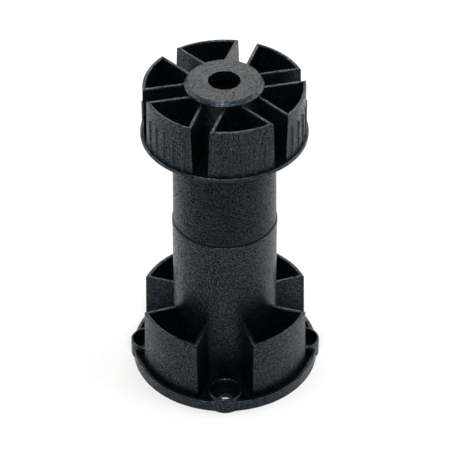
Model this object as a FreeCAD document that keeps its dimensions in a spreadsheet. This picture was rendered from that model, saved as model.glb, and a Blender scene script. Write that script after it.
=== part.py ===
"""Adjustable cabinet leg of moulded plastic, in millimetres.

It stands on its mounting plate with the foot up: +Z points from the plate to the foot, and the
origin is the centre of the mounting face. Three mouldings make it: the mounting base with the
lower half of the tube, the upper half of the tube, and the foot with its threaded stem.
"""
import FreeCAD, Part
import math
import os
from types import SimpleNamespace

import Sketcher
from FreeCAD import Vector

PIECES_FOLDER = "parts"

# Driving dimensions: millimetres, degrees and counts
DIMENSIONS = {
    # Mounting plate with its upstanding lip
    "plate_radius": 27.65,
    "plate_thickness": 1.6,
    "lip_height": 3.4,
    "lip_thickness": 1.2,
    # Lower half of the tube
    "socket_radius": 15.3,
    "socket_bore_radius": 13.85,
    "socket_height": 51.7,
    "socket_floor": 2.4,
    "bead_proud": 0.12,
    "bead_height": 1.9,
    # Fan-shaped pockets round the lower tube, with a screw cup in each gap
    "corner_count": 4,
    "pocket_radius": 25.25,
    "pocket_height": 22.3,
    "pocket_wall": 1.0,
    "pocket_gap_angle": 38.5,
    "pocket_draft": 0.7,
    # Screw cups
    "screw_circle_radius": 23.4,
    "cup_radius": 5.05,
    "cup_wall": 0.75,
    "cup_height": 5.15,
    "screw_hole_radius": 1.9,
    # Upper half of the tube
    "tube_foot_end_radius": 14.87,
    "tube_seam_end_radius": 15.08,
    "tube_bore_radius": 12.5,
    "tube_height": 30.1,
    "spigot_length": 18.0,
    "spigot_clearance": 0.05,
    "seam_chamfer": 0.35,
    # Foot
    "foot_gap": 0.2,
    "flange_radius": 24.07,
    "flange_thickness": 1.2,
    "wheel_radius": 23.15,
    "wheel_height": 16.4,
    "wheel_wall": 0.9,
    "wheel_draft": 1.0,
    "hub_radius": 11.33,
    "hub_height": 18.0,
    "hub_bevel_width": 1.0,
    "hub_bevel_height": 1.1,
    "hub_hole_radius": 4.6,
    "hub_thickness": 3.0,
    # Slots between the sectors of the foot
    "sector_count": 6,
    "slot_width": 5.6,
    "slot_draft": 2.26,
    "slot_direction": 12.9,
    # Grip ribs on the rim of each sector
    "grip_count": 5,
    "grip_spacing_angle": 8.57,
    "grip_radius": 0.57,
    "grip_proud": 0.35,
    "grip_height": 10.2,
    # Hollow threaded stem, inside the tube
    "stem_length": 40.0,
    "stem_wall": 2.0,
    "stem_chamfer": 0.6,
    "thread_clearance": 0.2,
    "thread_depth": 1.0,
    "thread_pitch": 4.0,
    "thread_crest": 1.0,
    "thread_root": 2.0,
    "thread_end_gap": 2.4,
    # Small chamfers on the edges of the mouldings
    "edge_chamfer": 0.2,
}


class Size:
    """A number together with the sheet expression that gives it."""

    def __init__(self, value, text):
        self.value = value
        self.text = text

    def __add__(self, other):
        other = as_size(other)
        return Size(self.value + other.value, f"({self.text} + {other.text})")

    def __sub__(self, other):
        other = as_size(other)
        return Size(self.value - other.value, f"({self.text} - {other.text})")

    def __mul__(self, other):
        other = as_size(other)
        return Size(self.value * other.value, f"({self.text} * {other.text})")

    def __truediv__(self, other):
        other = as_size(other)
        return Size(self.value / other.value, f"({self.text} / {other.text})")

    def __rtruediv__(self, other):
        return as_size(other) / self

    def __neg__(self):
        return Size(-self.value, f"(-1 * {self.text})")


def as_size(number):
    """A plain number as a Size; a Size stays as it is."""
    if isinstance(number, Size):
        return number
    return Size(number, str(number))


CHAMFER_ANGLE = as_size(45)

# Edges this close to a height, in millimetres, lie at it
SAME_HEIGHT = 1e-4

# A chamfered mouth is cut this much deeper than its chamfer, so that it ends inside the hollow
PAST_WALL = 1.5

# The top of a grip rib narrows to this share of its radius, so that it fades into the rim
RIB_TIP = 0.25

# A sketch's own origin, and the order in which a fan's or slot's two sides and two arcs are drawn
ORIGIN = -1
LEFT, RIGHT, RIM, ROOT = 0, 1, 2, 3

# Which of their ends meet: 1 is a start, 2 is an end and 3 is a centre
RING_SECTOR_JOINTS = (
    (RIM, 3, ORIGIN, 1),
    (ROOT, 3, ORIGIN, 1),
    (LEFT, 2, RIM, 2),
    (RIGHT, 2, RIM, 1),
    (LEFT, 1, ROOT, 2),
    (RIGHT, 1, ROOT, 1),
)


def fill_sheet(doc):
    """Puts the driving dimensions into the sheet and returns them as named Sizes."""
    sheet = doc.addObject("Spreadsheet::Sheet", "Sizes")
    for row, (name, value) in enumerate(DIMENSIONS.items(), start=1):
        sheet.set(f"A{row}", name)
        sheet.set(f"B{row}", str(value))
        sheet.setAlias(f"B{row}", name)
    doc.recompute()
    sizes = {name: Size(value, f"Sizes.{name}") for name, value in DIMENSIONS.items()}
    return SimpleNamespace(**sizes)


def origin_feature(body, role):
    """An axis or plane of the body's own origin."""
    return next(feature for feature in body.Origin.OriginFeatures if feature.Role == role)


def new_sketch(body, name, plane, level=None, turn=None):
    """Sketch on an origin plane, raised to a level and turned about the plane's normal."""
    sketch = body.newObject("Sketcher::SketchObject", name)
    sketch.AttachmentSupport = [(origin_feature(body, plane), "")]
    sketch.MapMode = "FlatFace"
    if level is not None:
        sketch.setExpression("AttachmentOffset.Base.z", level.text)
    if turn is not None:
        sketch.setExpression("AttachmentOffset.Rotation.Angle", turn.text)
    return sketch


def bind(sketch, label, size, kind, *where):
    """Adds a dimension to the sketch and ties it to the sheet, where angles are in degrees."""
    value = math.radians(size.value) if kind == "Angle" else size.value
    index = sketch.addConstraint(Sketcher.Constraint(kind, *where, value))
    sketch.renameConstraint(index, label)
    sketch.setExpression(f"Constraints.{label}", size.text)


def draw_outline(sketch, corners):
    """Closed outline of straight lines through corners given as (across, up)."""
    count = len(corners)
    points = [Vector(as_size(across).value, as_size(up).value, 0) for across, up in corners]
    for index in range(count):
        line = Part.LineSegment(points[index], points[(index + 1) % count])
        sketch.addGeometry(line, False)
    for index in range(count):
        sketch.addConstraint(Sketcher.Constraint("Coincident", index, 2, (index + 1) % count, 1))
    for index, (across, up) in enumerate(corners):
        if as_size(across).value == 0:
            sketch.addConstraint(Sketcher.Constraint("PointOnObject", index, 1, -2))
        else:
            bind(sketch, f"across_{index}", as_size(across), "DistanceX", ORIGIN, 1, index, 1)
        if as_size(up).value == 0:
            sketch.addConstraint(Sketcher.Constraint("PointOnObject", index, 1, -1))
        else:
            bind(sketch, f"up_{index}", as_size(up), "DistanceY", ORIGIN, 1, index, 1)


def draw_circle(sketch, radius, distance):
    """Circle centred on the sketch's X axis, at a distance from the origin."""
    circle = Part.Circle(Vector(distance.value, 0, 0), Vector(0, 0, 1), radius.value)
    sketch.addGeometry(circle, False)
    bind(sketch, "radius", radius, "Radius", 0)
    sketch.addConstraint(Sketcher.Constraint("PointOnObject", 0, 3, -1))
    bind(sketch, "distance", distance, "DistanceX", ORIGIN, 1, 0, 3)


def join_ring_sector(sketch, left_side, right_side, rim_arc, root_arc):
    """Puts two sides and two arcs about the origin into the sketch and joins them end to end."""
    for edge in (left_side, right_side, rim_arc, root_arc):
        sketch.addGeometry(edge, False)
    for joint in RING_SECTOR_JOINTS:
        sketch.addConstraint(Sketcher.Constraint("Coincident", *joint))


def draw_fan(sketch, inner, outer, half_angle, inset):
    """Fan about the sketch's X axis: two arcs, and two sides set in from the half angle."""

    def corner(radius, side):
        along = math.sqrt(radius.value ** 2 - inset.value ** 2)
        lean = math.radians(half_angle.value)
        across = math.cos(lean) * along + math.sin(lean) * inset.value
        up = math.sin(lean) * along - math.cos(lean) * inset.value
        return Vector(across, side * up, 0)

    def arc(radius):
        start = corner(radius, -1)
        end = corner(radius, 1)
        circle = Part.Circle(Vector(0, 0, 0), Vector(0, 0, 1), radius.value)
        return Part.ArcOfCircle(circle, math.atan2(start.y, start.x), math.atan2(end.y, end.x))

    left_side = Part.LineSegment(corner(inner, 1), corner(outer, 1))
    right_side = Part.LineSegment(corner(inner, -1), corner(outer, -1))
    join_ring_sector(sketch, left_side, right_side, arc(outer), arc(inner))
    bind(sketch, "rim_radius", outer, "Radius", RIM)
    bind(sketch, "root_radius", inner, "Radius", ROOT)
    bind(sketch, "left_angle", half_angle, "Angle", LEFT)
    bind(sketch, "right_angle", -half_angle, "Angle", RIGHT)
    bind(sketch, "left_inset", inset, "Distance", ORIGIN, 1, LEFT)
    bind(sketch, "right_inset", inset, "Distance", ORIGIN, 1, RIGHT)


def draw_slot(sketch, inner, outer, width):
    """Slot along the sketch's X axis, round at both ends to fit two circles about the origin."""
    half = width.value / 2

    def arc(radius):
        lean = math.asin(half / radius.value)
        circle = Part.Circle(Vector(0, 0, 0), Vector(0, 0, 1), radius.value)
        return Part.ArcOfCircle(circle, -lean, lean)

    def side_line(side):
        near = math.sqrt(inner.value ** 2 - half ** 2)
        far = math.sqrt(outer.value ** 2 - half ** 2)
        return Part.LineSegment(Vector(near, side * half, 0), Vector(far, side * half, 0))

    join_ring_sector(sketch, side_line(1), side_line(-1), arc(outer), arc(inner))
    sketch.addConstraint(Sketcher.Constraint("Horizontal", LEFT))
    sketch.addConstraint(Sketcher.Constraint("Horizontal", RIGHT))
    bind(sketch, "rim_radius", outer, "Radius", RIM)
    bind(sketch, "root_radius", inner, "Radius", ROOT)
    bind(sketch, "left_half", width / 2, "DistanceY", ORIGIN, 1, LEFT, 1)
    bind(sketch, "right_half", width / 2, "DistanceY", RIGHT, 1, ORIGIN, 1)


def turned(body, name, corners):
    """Solid of revolution about the Z axis."""
    sketch = new_sketch(body, f"{name}_outline", "XZ_Plane")
    draw_outline(sketch, corners)
    turn = body.newObject("PartDesign::Revolution", name)
    turn.Profile = sketch
    turn.ReferenceAxis = (sketch, ["V_Axis"])
    turn.Angle = 360
    return turn


def padded_down(body, name, sketch, depth, draft=None):
    """Pad from its sketch downwards, wider by the draft as it goes down."""
    pad = body.newObject("PartDesign::Pad", name)
    pad.Profile = sketch
    pad.Reversed = True
    pad.setExpression("Length", depth.text)
    if draft:
        pad.setExpression("TaperAngle", draft.text)
    return pad


def cut_down(body, name, sketch, depth, draft=None):
    """Pocket from its sketch downwards, narrower by the draft as it goes down."""
    pocket = body.newObject("PartDesign::Pocket", name)
    pocket.Profile = sketch
    pocket.setExpression("Length", depth.text)
    if draft:
        pocket.setExpression("TaperAngle", (-draft).text)
    return pocket


def polar_step(body, name, span, count):
    """Even spacing round the Z axis over the span, as a step that a pattern can be made of."""
    step = body.Document.addObject("PartDesign::PolarPattern", name)
    step.Axis = (origin_feature(body, "Z_Axis"), [""])
    step.setExpression("Angle", span.text)
    step.setExpression("Occurrences", count.text)
    return step


def repeated(body, name, features, count):
    """Copies of the features, evenly spaced all the way round the Z axis."""
    pattern = body.newObject("PartDesign::PolarPattern", name)
    pattern.Originals = features
    pattern.Axis = (origin_feature(body, "Z_Axis"), [""])
    pattern.Angle = 360
    pattern.setExpression("Occurrences", count.text)
    body.Tip = pattern
    return pattern


def chamfered_at(body, name, base, level, size):
    """Chamfer on each edge of the base feature that lies flat at this height."""
    body.Document.recompute()
    picked = []
    for index, edge in enumerate(base.Shape.Edges, start=1):
        box = edge.BoundBox
        if abs(box.ZMin - level.value) < SAME_HEIGHT and abs(box.ZMax - level.value) < SAME_HEIGHT:
            picked.append(f"Edge{index}")
    chamfer = body.newObject("PartDesign::Chamfer", name)
    chamfer.Base = (base, picked)
    chamfer.setExpression("Size", size.text)
    body.Tip = chamfer
    return chamfer


def make_mounting_base(doc, s):
    """Plate with lip, lower tube, four fan-shaped pockets and four screw cups, in one moulding."""
    body = doc.addObject("PartDesign::Body", "mounting_base")
    bead_radius = s.socket_radius + s.bead_proud
    lip_inner = s.plate_radius - s.lip_thickness
    turned(body, "plate_and_tube", [
        (0, 0),
        (s.plate_radius, 0),
        (s.plate_radius, s.lip_height - s.edge_chamfer),
        (s.plate_radius - s.edge_chamfer, s.lip_height),
        (lip_inner + s.edge_chamfer, s.lip_height),
        (lip_inner, s.lip_height - s.edge_chamfer),
        (lip_inner, s.plate_thickness),
        (s.socket_radius, s.plate_thickness),
        (s.socket_radius, s.socket_height - s.bead_height - s.bead_proud),
        (bead_radius, s.socket_height - s.bead_height),
        (bead_radius, s.socket_height - s.edge_chamfer),
        (bead_radius - s.edge_chamfer, s.socket_height),
        (s.socket_bore_radius, s.socket_height),
        (s.socket_bore_radius, s.socket_floor),
        (0, s.socket_floor),
    ])

    direction = 180 / s.corner_count
    half_angle = direction - s.pocket_gap_angle / 2
    inside_tube_wall = (s.socket_radius + s.socket_bore_radius) / 2
    crown_sketch = new_sketch(body, "pocket_crown_outline", "XY_Plane", s.pocket_height, direction)
    draw_fan(crown_sketch, inside_tube_wall, s.pocket_radius - s.edge_chamfer, half_angle, s.edge_chamfer)
    crown = padded_down(body, "pocket_crown", crown_sketch, s.edge_chamfer, CHAMFER_ANGLE)
    block_level = s.pocket_height - s.edge_chamfer
    block_sketch = new_sketch(body, "pocket_block_outline", "XY_Plane", block_level, direction)
    draw_fan(block_sketch, inside_tube_wall, s.pocket_radius, half_angle, as_size(0))
    block = padded_down(body, "pocket_block", block_sketch, block_level - s.plate_thickness, s.pocket_draft)
    repeated(body, "pocket_blocks", [crown, block], s.corner_count)

    pocket_rim = s.pocket_radius - s.pocket_wall
    hollow_sketch = new_sketch(body, "pocket_outline", "XY_Plane", s.pocket_height, direction)
    draw_fan(hollow_sketch, s.socket_radius, pocket_rim, half_angle, s.pocket_wall)
    hollow = cut_down(body, "pocket", hollow_sketch, s.pocket_height - s.plate_thickness, s.pocket_draft)
    mouth_sketch = new_sketch(body, "pocket_mouth_outline", "XY_Plane", s.pocket_height, direction)
    draw_fan(mouth_sketch, s.socket_radius, pocket_rim + s.edge_chamfer, half_angle,
             s.pocket_wall - s.edge_chamfer)
    mouth = cut_down(body, "pocket_mouth", mouth_sketch, s.edge_chamfer * PAST_WALL, CHAMFER_ANGLE)
    repeated(body, "pockets", [hollow, mouth], s.corner_count)

    cup_sketch = new_sketch(body, "cup_outline", "XY_Plane", s.cup_height)
    draw_circle(cup_sketch, s.cup_radius, s.screw_circle_radius)
    cup = padded_down(body, "cup", cup_sketch, s.cup_height)
    inside_sketch = new_sketch(body, "cup_inside_outline", "XY_Plane", s.cup_height)
    draw_circle(inside_sketch, s.cup_radius - s.cup_wall, s.screw_circle_radius)
    inside = cut_down(body, "cup_inside", inside_sketch, s.cup_height - s.plate_thickness)
    hole_sketch = new_sketch(body, "screw_hole_outline", "XY_Plane", s.plate_thickness)
    draw_circle(hole_sketch, s.screw_hole_radius, s.screw_circle_radius)
    hole = cut_down(body, "screw_hole", hole_sketch, s.plate_thickness)
    cups = repeated(body, "cups", [cup, inside, hole], s.corner_count)

    chamfered_at(body, "cup_edges", cups, s.cup_height, s.edge_chamfer)
    return body


def make_leg_tube(doc, s):
    """Upper tube: a slightly tapered sleeve with a spigot that the lower tube holds."""
    body = doc.addObject("PartDesign::Body", "leg_tube")
    spigot_radius = s.socket_bore_radius - s.spigot_clearance
    turned(body, "sleeve", [
        (s.tube_bore_radius, -s.spigot_length),
        (spigot_radius, -s.spigot_length),
        (spigot_radius, 0),
        (s.tube_seam_end_radius - s.seam_chamfer, 0),
        (s.tube_seam_end_radius, s.seam_chamfer),
        (s.tube_foot_end_radius, s.tube_height),
        (s.tube_bore_radius, s.tube_height),
    ])
    body.setExpression("Placement.Base.z", s.socket_height.text)
    return body


def make_foot(doc, s):
    """Foot: hub, six fan-shaped pockets with slots between them, flange, grips, threaded stem."""
    body = doc.addObject("PartDesign::Body", "foot")
    thread_radius = s.tube_bore_radius - s.thread_clearance
    core_radius = thread_radius - s.thread_depth
    stem_bore = core_radius - s.stem_wall
    ceiling = s.hub_height - s.hub_thickness
    turned(body, "wheel_and_stem", [
        (stem_bore, -s.stem_length),
        (core_radius - s.stem_chamfer, -s.stem_length),
        (core_radius, s.stem_chamfer - s.stem_length),
        (core_radius, 0),
        (s.flange_radius - s.edge_chamfer, 0),
        (s.flange_radius, s.edge_chamfer),
        (s.flange_radius, s.flange_thickness - s.edge_chamfer),
        (s.flange_radius - s.edge_chamfer, s.flange_thickness),
        (s.wheel_radius, s.flange_thickness),
        (s.wheel_radius, s.wheel_height - s.edge_chamfer),
        (s.wheel_radius - s.edge_chamfer, s.wheel_height),
        (s.hub_radius, s.wheel_height),
        (s.hub_radius, s.hub_height - s.hub_bevel_height),
        (s.hub_radius - s.hub_bevel_width, s.hub_height),
        (s.hub_hole_radius, s.hub_height),
        (s.hub_hole_radius, ceiling),
        (stem_bore, ceiling),
    ])

    half_sector = 180 / s.sector_count
    grip_span = s.grip_spacing_angle * (s.grip_count - 1)
    grip_direction = s.slot_direction + half_sector - grip_span / 2
    grip_circle_radius = s.wheel_radius + s.grip_proud - s.grip_radius
    grip_top = s.flange_thickness + s.grip_height
    tip_radius = s.grip_radius * RIB_TIP
    tip_height = s.grip_radius - tip_radius
    tip_sketch = new_sketch(body, "grip_tip_outline", "XY_Plane", grip_top, grip_direction)
    draw_circle(tip_sketch, tip_radius, grip_circle_radius)
    tip = padded_down(body, "grip_tip", tip_sketch, tip_height, CHAMFER_ANGLE)
    grip_sketch = new_sketch(body, "grip_outline", "XY_Plane", grip_top - tip_height, grip_direction)
    draw_circle(grip_sketch, s.grip_radius, grip_circle_radius)
    grip = padded_down(body, "grip", grip_sketch, s.grip_height - tip_height)
    on_sector = polar_step(body, "grips_on_sector", grip_span, s.grip_count)
    on_rim = polar_step(body, "grips_on_rim", as_size(360), s.sector_count)
    grips = body.newObject("PartDesign::MultiTransform", "grips")
    grips.Originals = [tip, grip]
    grips.Transformations = [on_sector, on_rim]
    body.Tip = grips

    depth = s.wheel_height - s.flange_thickness
    sector_direction = s.slot_direction + half_sector
    sector_radius = s.wheel_radius - s.wheel_wall
    sector_inset = s.slot_width / 2 + s.wheel_wall
    sector_sketch = new_sketch(body, "sector_outline", "XY_Plane", s.wheel_height, sector_direction)
    draw_fan(sector_sketch, s.hub_radius, sector_radius, half_sector, sector_inset)
    sector = cut_down(body, "sector", sector_sketch, depth, s.wheel_draft)
    mouth_sketch = new_sketch(body, "sector_mouth_outline", "XY_Plane", s.wheel_height, sector_direction)
    draw_fan(mouth_sketch, s.hub_radius, sector_radius + s.edge_chamfer, half_sector,
             sector_inset - s.edge_chamfer)
    mouth = cut_down(body, "sector_mouth", mouth_sketch, s.edge_chamfer * PAST_WALL, CHAMFER_ANGLE)
    repeated(body, "sectors", [sector, mouth], s.sector_count)

    past_flange = s.flange_radius + s.wheel_wall
    slot_sketch = new_sketch(body, "slot_outline", "XY_Plane", s.wheel_height, s.slot_direction)
    draw_slot(slot_sketch, s.hub_radius, past_flange, s.slot_width)
    slot = cut_down(body, "slot", slot_sketch, depth, s.slot_draft)
    lip_sketch = new_sketch(body, "slot_mouth_outline", "XY_Plane", s.wheel_height, s.slot_direction)
    draw_slot(lip_sketch, s.hub_radius, past_flange, s.slot_width + s.edge_chamfer * 2)
    lip = cut_down(body, "slot_mouth", lip_sketch, s.edge_chamfer * PAST_WALL, CHAMFER_ANGLE)
    repeated(body, "slots", [slot, lip], s.sector_count)

    lowest = s.thread_end_gap - s.stem_length
    sunk = core_radius - s.stem_wall / 4
    thread_sketch = new_sketch(body, "thread_outline", "XZ_Plane")
    draw_outline(thread_sketch, [
        (sunk, lowest),
        (thread_radius, lowest + (s.thread_root - s.thread_crest) / 2),
        (thread_radius, lowest + (s.thread_root + s.thread_crest) / 2),
        (sunk, lowest + s.thread_root),
    ])
    thread = body.newObject("PartDesign::AdditiveHelix", "thread")
    thread.Profile = thread_sketch
    thread.ReferenceAxis = (thread_sketch, ["V_Axis"])
    thread.Mode = "pitch-height-angle"
    thread.setExpression("Pitch", s.thread_pitch.text)
    thread.setExpression("Height", (s.stem_length - s.thread_end_gap * 2 - s.thread_root).text)
    body.Tip = thread
    body.setExpression("Placement.Base.z", (s.socket_height + s.tube_height + s.foot_gap).text)
    return body


def check(doc, bodies):
    """Stops before anything is written if an object failed or a piece is not one valid solid."""
    failed = [item.Name for item in doc.Objects if "Invalid" in item.State or "Error" in item.State]
    if failed:
        raise RuntimeError(f"these objects failed: {failed}")
    for body in bodies:
        if body.Shape.isNull() or not body.Shape.isValid() or len(body.Shape.Solids) != 1:
            raise RuntimeError(f"{body.Label} is not one valid solid")


def main():
    doc = FreeCAD.newDocument("cabinet_leg")
    sizes = fill_sheet(doc)
    bodies = [make_mounting_base(doc, sizes), make_leg_tube(doc, sizes), make_foot(doc, sizes)]
    doc.recompute()
    check(doc, bodies)
    os.makedirs(PIECES_FOLDER, exist_ok=True)
    for body in bodies:
        body.Shape.exportStep(os.path.join(PIECES_FOLDER, f"{body.Label}.step"))
        box = body.Shape.BoundBox
        print(f"{body.Label}: z {box.ZMin:.2f} to {box.ZMax:.2f}, volume {body.Shape.Volume:.0f} mm3")


main()
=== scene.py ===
"""Looks of the adjustable cabinet leg: black moulded plastic, standing on its mounting plate."""
import math

import bpy
from mathutils import Matrix, Vector

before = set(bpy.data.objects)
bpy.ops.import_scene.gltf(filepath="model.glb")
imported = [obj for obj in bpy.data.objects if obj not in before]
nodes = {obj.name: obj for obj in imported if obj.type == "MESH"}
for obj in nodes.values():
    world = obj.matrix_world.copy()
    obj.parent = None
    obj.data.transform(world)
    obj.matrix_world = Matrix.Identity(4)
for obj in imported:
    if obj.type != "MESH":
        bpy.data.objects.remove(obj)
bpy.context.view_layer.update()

MM = 0.001
WHITE = "#ffffff"

# The photograph's viewpoint, fitted to the leg's own rims and edges. The width, the focal length
# and the optical centre are in the photograph's pixels, and the sensor is in millimetres.
PHOTO_WIDTH = 450
FOCAL_LENGTH_IN_PIXELS = 2648.88
OPTICAL_CENTRE_ABOVE_MIDDLE = 4.235
SENSOR_WIDTH = 36.0
LOOK_DOWN = math.radians(37.879)
CAMERA_ROLL = math.radians(-0.184)
CAMERA_DISTANCE = 775.502 * MM
AIM = Vector((0.078, 0, 50)) * MM

# The floor card: how far it reaches each way in metres, its colour, and the share of plain white
# that is mixed in where the camera or a mirror image sees it
FLOOR_REACH = 6.0
FLOOR_COLOUR = "#e6e6e6"
FLOOR_SEEN_WHITE = 0.2
FLOOR_MIRRORED_WHITE = 0.2

# The room: its even fill, the heights between which its white walls fade into the ceiling, and how
# white the ceiling is
ROOM_FILL = 0.05
WALL_TOP = math.radians(8)
CEILING = math.radians(24)
CEILING_WHITE = 0.3

# The soft lamps: compass angle (0 is behind the leg) and height in degrees, distance, width and
# length in metres, power in watts, colour
LAMPS = {
    "back_softbox": (0, 22, 1.2, 0.9, 0.25, 7.5, "#fffaf4"),
    "front_softbox": (180, 50, 1.2, 0.8, 0.25, 12.5, WHITE),
    "left_softbox": (-75, 24, 1.1, 1.6, 1.0, 14.5, WHITE),
    "right_softbox": (75, 24, 1.1, 1.6, 1.0, 18.0, WHITE),
}

# Black polypropylene: its index of refraction, its near black body, the grey of its scuffed crests
# and a painted cool tint on all that it mirrors, which stands in for cooler light
PLASTIC_IOR = 1.49
BODY_COLOUR = "#020406"
SCUFF_COLOUR = "#202429"
PAINTED_COOL_REFLECTION_TINT = "#d8edff"

# The grain: its noise is all hollow below the first level and all crest above the second, and the
# last part of that rise is scuffed. Then its roughness, its octaves and its turn in radians.
HOLLOW_LEVEL = 0.4
CREST_LEVEL = 0.65
SCUFF_START = 0.8
HOLLOW_ROUGHNESS = 0.4
CREST_ROUGHNESS = 0.22
GRAIN_DETAIL = 2.0
GRAIN_TURN = (0.6, 0.4, 0.9)

# The flow marks: their width, their octaves, the noise levels between which they fade, and how far
# they move the roughness each way
FLOW_MM = 6.0
FLOW_DETAIL = 4.0
FLOW_LEVELS = (0.3, 0.7)
FLOW_DULLING = 0.05

# How strongly the finer octaves of both noises show
OCTAVE_STRENGTH = 0.55

# The rounding of the moulded edges, and how many rays look for an edge
EDGE_ROUND_MM = 0.06
EDGE_SAMPLES = 6

# Each piece comes from a mould of its own: how strongly its rubbed crests mirror, then the width
# and the depth of its grain in millimetres
MOULDS = {
    "mounting_base": (0.7, 0.31, 0.027),
    "leg_tube": (0.36, 0.33, 0.029),
    "foot": (0.7, 0.31, 0.026),
}


def linear(hex_colour):
    """An sRGB hex colour as the linear RGBA that sockets take."""
    channels = [int(hex_colour[i:i + 2], 16) / 255 for i in (1, 3, 5)]
    return [c / 12.92 if c <= 0.04045 else ((c + 0.055) / 1.055) ** 2.4 for c in channels] + [1.0]


def add(tree, kind, settings=None, **links):
    """Adds a shader node. Settings are its own values, links its sockets' values or sources.

    A socket goes by its name, with _ for a space, or by its number after a _.
    """
    node = tree.nodes.new(kind)
    for name, value in (settings or {}).items():
        setattr(node, name, value)
    for name, source in links.items():
        key = int(name[1:]) if name[0] == "_" else name.replace("_", " ")
        socket = node.inputs[key]
        if isinstance(source, bpy.types.NodeSocket):
            tree.links.new(source, socket)
        else:
            socket.default_value = source
    return node


def empty_tree(owner):
    """Turns on the nodes of a material or a world, with none in it yet."""
    owner.use_nodes = True
    owner.node_tree.nodes.clear()
    return owner.node_tree


def new_object(name, data):
    """Puts a mesh, a lamp or a camera into the scene."""
    made = bpy.data.objects.new(name, data)
    bpy.context.scene.collection.objects.link(made)
    return made


def moulded_plastic(name, crest_gloss, grain_mm, depth_mm):
    """Black polypropylene from a spark-eroded mould: fine grain, rubbed crests and dull hollows."""
    material = bpy.data.materials.new(name)
    tree = empty_tree(material)
    place = add(tree, "ShaderNodeTexCoord").outputs["Object"]

    # The mould's own grain is near 0.1 mm. It is drawn about three times coarser, so that it shows,
    # and turned, so that no flat face runs along the noise's own lattice, where the grain fades.
    turned = add(tree, "ShaderNodeMapping", Vector=place, Rotation=GRAIN_TURN)
    grain = add(tree, "ShaderNodeTexNoise", Vector=turned.outputs["Vector"],
                Scale=1 / (grain_mm * MM), Detail=GRAIN_DETAIL, Roughness=OCTAVE_STRENGTH)
    crest = add(tree, "ShaderNodeMapRange", Value=grain.outputs["Fac"], From_Min=HOLLOW_LEVEL,
                From_Max=CREST_LEVEL).outputs["Result"]
    # The mould leaves every edge slightly round
    edges = add(tree, "ShaderNodeBevel", {"samples": EDGE_SAMPLES}, Radius=EDGE_ROUND_MM * MM)
    bump = add(tree, "ShaderNodeBump", Strength=1.0, Distance=depth_mm * MM, Height=crest,
               Normal=edges.outputs["Normal"])

    # Cloudy flow marks several millimetres wide make some patches a little duller than others
    flow = add(tree, "ShaderNodeTexNoise", Vector=place, Scale=1 / (FLOW_MM * MM),
               Detail=FLOW_DETAIL, Roughness=OCTAVE_STRENGTH)
    dull = add(tree, "ShaderNodeMapRange", Value=flow.outputs["Fac"], From_Min=FLOW_LEVELS[0],
               From_Max=FLOW_LEVELS[1], To_Min=-FLOW_DULLING, To_Max=FLOW_DULLING)

    # Hollows scatter the light and mirror nothing, rubbed crests shine, and the highest are scuffed
    rough = add(tree, "ShaderNodeMapRange", Value=crest, To_Min=HOLLOW_ROUGHNESS,
                To_Max=CREST_ROUGHNESS)
    rough = add(tree, "ShaderNodeMath", {"operation": "ADD", "use_clamp": True},
                _0=rough.outputs["Result"], _1=dull.outputs["Result"])
    gloss = add(tree, "ShaderNodeMapRange", Value=crest, To_Max=crest_gloss)
    scuff = add(tree, "ShaderNodeMapRange", Value=crest, From_Min=SCUFF_START)
    tint = add(tree, "ShaderNodeMix", {"data_type": "RGBA"}, _0=scuff.outputs["Result"],
               _6=linear(BODY_COLOUR), _7=linear(SCUFF_COLOUR))

    # Its reflections carry a painted cool tint, which stands in for cooler light falling on the leg
    shader = add(tree, "ShaderNodeBsdfPrincipled", Base_Color=tint.outputs[2], IOR=PLASTIC_IOR,
                 Specular_IOR_Level=gloss.outputs["Result"], Roughness=rough.outputs["Value"],
                 Specular_Tint=linear(PAINTED_COOL_REFLECTION_TINT), Normal=bump.outputs["Normal"])
    add(tree, "ShaderNodeOutputMaterial", Surface=shader.outputs["BSDF"])
    return material


def dress(node, material):
    """Gives a CAD node one material all over."""
    slots = nodes[node].data.materials
    slots.clear()
    slots.append(material)


def white_card():
    """Pale card, whiter where the camera or a mirror image sees it, that still takes shadows."""
    material = bpy.data.materials.new("white_card")
    tree = empty_tree(material)
    path = add(tree, "ShaderNodeLightPath")
    seen = add(tree, "ShaderNodeMath", {"operation": "MULTIPLY"},
               _0=path.outputs["Is Camera Ray"], _1=FLOOR_SEEN_WHITE)
    share = add(tree, "ShaderNodeMath", {"operation": "MULTIPLY_ADD"},
                _0=path.outputs["Is Glossy Ray"], _1=FLOOR_MIRRORED_WHITE,
                _2=seen.outputs["Value"])
    card = add(tree, "ShaderNodeBsdfDiffuse", Color=linear(FLOOR_COLOUR))
    white = add(tree, "ShaderNodeEmission", Color=linear(WHITE), Strength=1.0)
    mixed = add(tree, "ShaderNodeMixShader", _0=share.outputs["Value"], _1=card.outputs["BSDF"],
                _2=white.outputs["Emission"])
    add(tree, "ShaderNodeOutputMaterial", Surface=mixed.outputs["Shader"])
    return material


def studio_floor():
    """Wide floor that keeps a soft shadow of the leg."""
    low, high = -FLOOR_REACH, FLOOR_REACH
    mesh = bpy.data.meshes.new("floor")
    mesh.from_pydata([(low, low, 0), (high, low, 0), (high, high, 0), (low, high, 0)],
                     [], [(0, 1, 2, 3)])
    mesh.materials.append(white_card())
    new_object("floor", mesh)


def seen_or_mirrored(tree):
    """1 for camera rays and for mirrored or refracted ones, 0 for rays that only light things."""
    path = add(tree, "ShaderNodeLightPath")
    seen = add(tree, "ShaderNodeMath", {"operation": "ADD"}, _0=path.outputs["Is Camera Ray"],
               _1=path.outputs["Is Glossy Ray"])
    seen = add(tree, "ShaderNodeMath", {"operation": "ADD", "use_clamp": True},
               _0=seen.outputs["Value"], _1=path.outputs["Is Transmission Ray"])
    return seen.outputs["Value"]


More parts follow.
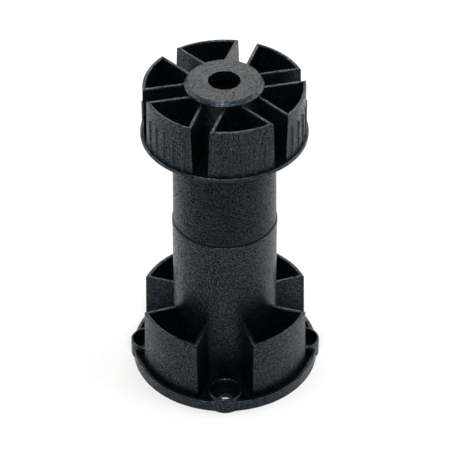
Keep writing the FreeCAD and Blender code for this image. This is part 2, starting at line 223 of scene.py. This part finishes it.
def studio_walls():
    """Room that shows white walls and a grey ceiling, and lights the leg with an even fill."""
    world = bpy.data.worlds.new("studio_walls")
    tree = empty_tree(world)
    direction = add(tree, "ShaderNodeTexCoord").outputs["Generated"]
    height = add(tree, "ShaderNodeSeparateXYZ", Vector=direction).outputs["Z"]
    wall = add(tree, "ShaderNodeMapRange", {"interpolation_type": "SMOOTHSTEP"}, Value=height,
               From_Min=math.sin(WALL_TOP), From_Max=math.sin(CEILING), To_Min=1.0,
               To_Max=CEILING_WHITE)
    strength = add(tree, "ShaderNodeMix", {"data_type": "FLOAT"}, _0=seen_or_mirrored(tree),
                   _2=ROOM_FILL, _3=wall.outputs["Result"])
    background = add(tree, "ShaderNodeBackground", Color=linear(WHITE),
                     Strength=strength.outputs[0])
    add(tree, "ShaderNodeOutputWorld", Surface=background.outputs["Background"])
    bpy.context.scene.world = world


def soft_light(name, azimuth, elevation, distance, width, length, power, colour):
    """Rectangular soft lamp aimed at the leg."""
    lamp = bpy.data.lights.new(name, "AREA")
    lamp.shape = "RECTANGLE"
    lamp.size = width
    lamp.size_y = length
    lamp.energy = power
    lamp.color = linear(colour)[:3]
    turn = math.radians(azimuth)
    lift = math.radians(elevation)
    away = Vector((math.sin(turn) * math.cos(lift), math.cos(turn) * math.cos(lift),
                   math.sin(lift)))
    light = new_object(name, lamp)
    light.location = AIM + away * distance
    light.rotation_euler = (-away).to_track_quat("-Z", "Y").to_euler()


def photo_camera():
    """Camera at the photograph's viewpoint, with its lens and its slight roll."""
    lens = bpy.data.cameras.new("photo_camera")
    lens.sensor_width = SENSOR_WIDTH
    lens.lens = SENSOR_WIDTH * FOCAL_LENGTH_IN_PIXELS / PHOTO_WIDTH
    lens.shift_y = -OPTICAL_CENTRE_ABOVE_MIDDLE / PHOTO_WIDTH
    look = Vector((0, math.cos(LOOK_DOWN), -math.sin(LOOK_DOWN)))
    tilt = Matrix.Rotation(math.pi / 2 - LOOK_DOWN, 4, "X")
    roll = Matrix.Rotation(CAMERA_ROLL, 4, "Z")
    camera = new_object("photo_camera", lens)
    camera.matrix_world = Matrix.Translation(AIM - look * CAMERA_DISTANCE) @ tilt @ roll
    bpy.context.scene.camera = camera


photo_camera()
studio_floor()
studio_walls()
for name, settings in LAMPS.items():
    soft_light(name, *settings)

for node in nodes:
    dress(node, moulded_plastic("black_polypropylene_spark_grain_" + node, *MOULDS[node]))

bpy.context.scene.view_settings.view_transform = "Standard"
